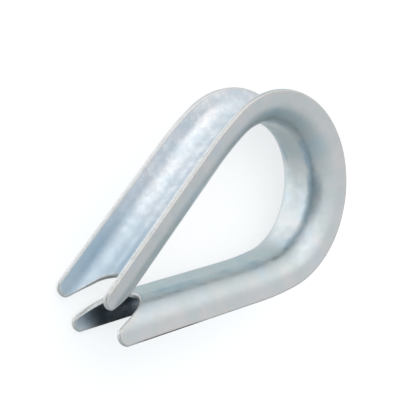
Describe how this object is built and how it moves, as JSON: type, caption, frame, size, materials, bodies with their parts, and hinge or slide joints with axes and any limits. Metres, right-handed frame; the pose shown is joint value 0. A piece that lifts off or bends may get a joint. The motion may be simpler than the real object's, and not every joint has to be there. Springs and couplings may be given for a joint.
{
  "type": "wire rope thimble eye",
  "caption": "Teardrop thimble for a wire rope eye: one bent channel of thin zinc-plated steel, open at the point, that keeps the rope's loop round and unworn.",
  "frame": {"origin": "centre of the crown's eye arc, midway between the two rims", "axes": "+X from the ears to the crown, along the pull; +Z along the axis of the eye; the legs lie at +Y and -Y; the part lies flat on one rim"},
  "size_m": [0.05, 0.0302, 0.0112],
  "materials": {
    "zinc_plated_steel": "bright zinc plating, satin with a faint blue mottle"
  },
  "bodies": {
    "root": {"thimble": "zinc_plated_steel"}
  },
  "joints": []
}
